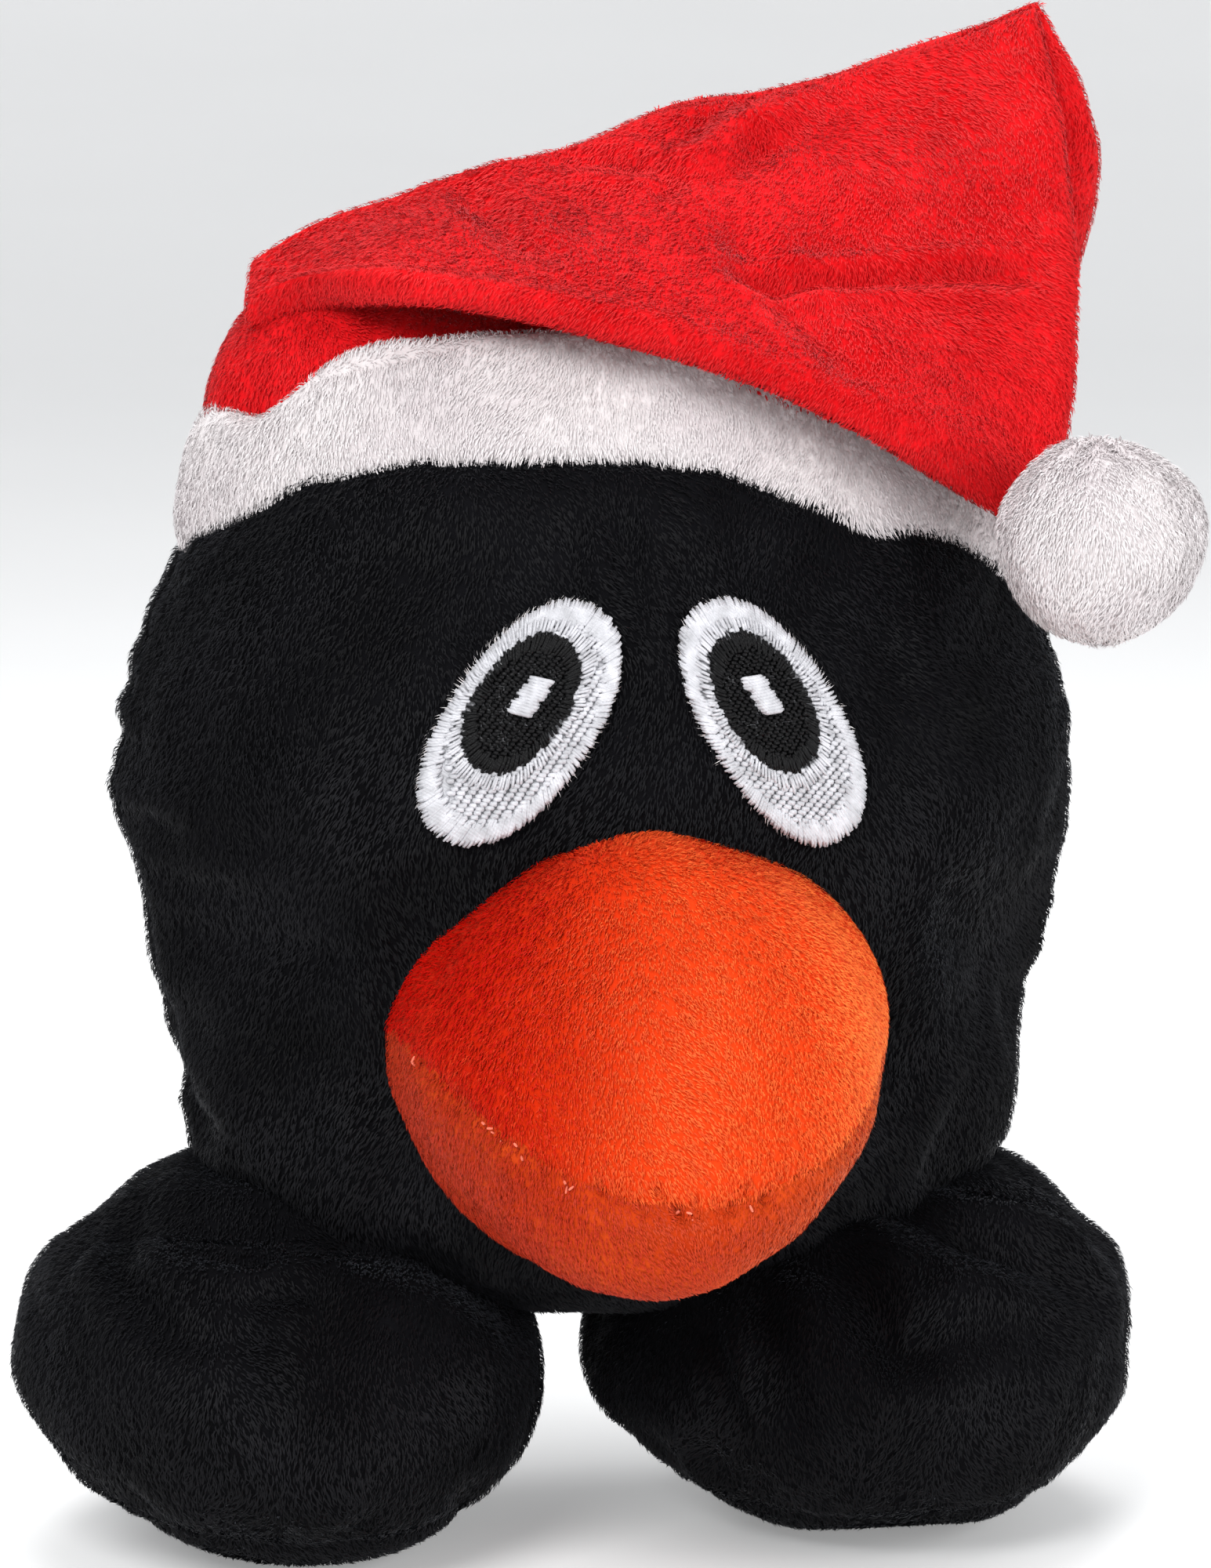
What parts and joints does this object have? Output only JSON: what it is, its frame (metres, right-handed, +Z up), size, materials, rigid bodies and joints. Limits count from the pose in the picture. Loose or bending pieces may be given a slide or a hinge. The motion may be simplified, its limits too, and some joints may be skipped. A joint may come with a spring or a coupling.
{
  "type": "plush penguin",
  "caption": "Standing plush penguin with stuffed feet, a domed beak, stitched eyes and a floppy hat ending in a pompom.",
  "frame": {"origin": "on the floor, under the middle of the toy's outline", "axes": "+Z up, the face looks along -Y, +X to the right of someone facing the toy"},
  "size_m": [0.1154, 0.1043, 0.1573],
  "materials": {
    "black_plush": "short black pile, soft grey sheen",
    "orange_plush": "short orange pile",
    "red_plush": "short red pile with a pink sheen",
    "white_plush": "dense white pile",
    "white_thread": "satin embroidery thread",
    "black_thread": "satin embroidery thread",
    "fibre_fill": "polyester fibre filling"
  },
  "bodies": {
    "body": {"body_front_panel": "black_plush", "body_back_left_panel": "black_plush", "body_back_right_panel": "black_plush", "body_stuffing": "fibre_fill", "beak_upper_panel": "orange_plush", "beak_lower_panel": "orange_plush", "beak_stuffing": "fibre_fill", "eye_white_left": "white_thread", "eye_white_right": "white_thread", "eye_pupil_left": "black_thread", "eye_pupil_right": "black_thread", "eye_highlight_left": "white_thread", "eye_highlight_right": "white_thread", "hat_band": "white_plush", "hat_crown_front_panel": "red_plush", "hat_crown_back_panel": "red_plush"},
    "foot_left": {"foot_cover_left": "black_plush", "foot_sole_left": "black_plush", "foot_stuffing_left": "fibre_fill"},
    "foot_right": {"foot_cover_right": "black_plush", "foot_sole_right": "black_plush", "foot_stuffing_right": "fibre_fill"},
    "hat_tip": {"hat_tip_front_panel": "red_plush", "hat_tip_back_panel": "red_plush"},
    "pompom": {"pompom_cover": "white_plush", "pompom_stuffing": "fibre_fill", "pompom_thread": "white_thread"}
  },
  "joints": [
    {"name": "foot_left_hinge", "type": "hinge", "parent": "body", "child": "foot_left", "pos_m": [-0.0309, 0.012, 0.0205], "axis": [-1, 0, 0], "range_deg": [-15, 15], "stiffness_Nm_per_rad": 0.25},
    {"name": "foot_right_hinge", "type": "hinge", "parent": "body", "child": "foot_right", "pos_m": [0.0294, 0.012, 0.0205], "axis": [-1, 0, 0], "range_deg": [-15, 15], "stiffness_Nm_per_rad": 0.25},
    {"name": "hat_tip_hinge", "type": "hinge", "parent": "body", "child": "hat_tip", "pos_m": [0.0082, 0.0155, 0.143], "axis": [-0.9545, 0, -0.2983], "range_deg": [0, 80]},
    {"name": "pompom_hinge", "type": "hinge", "parent": "hat_tip", "child": "pompom", "pos_m": [0.0448, -0.0145, 0.1126], "axis": [-1, 0, 0], "range_deg": [0, 60]}
  ]
}
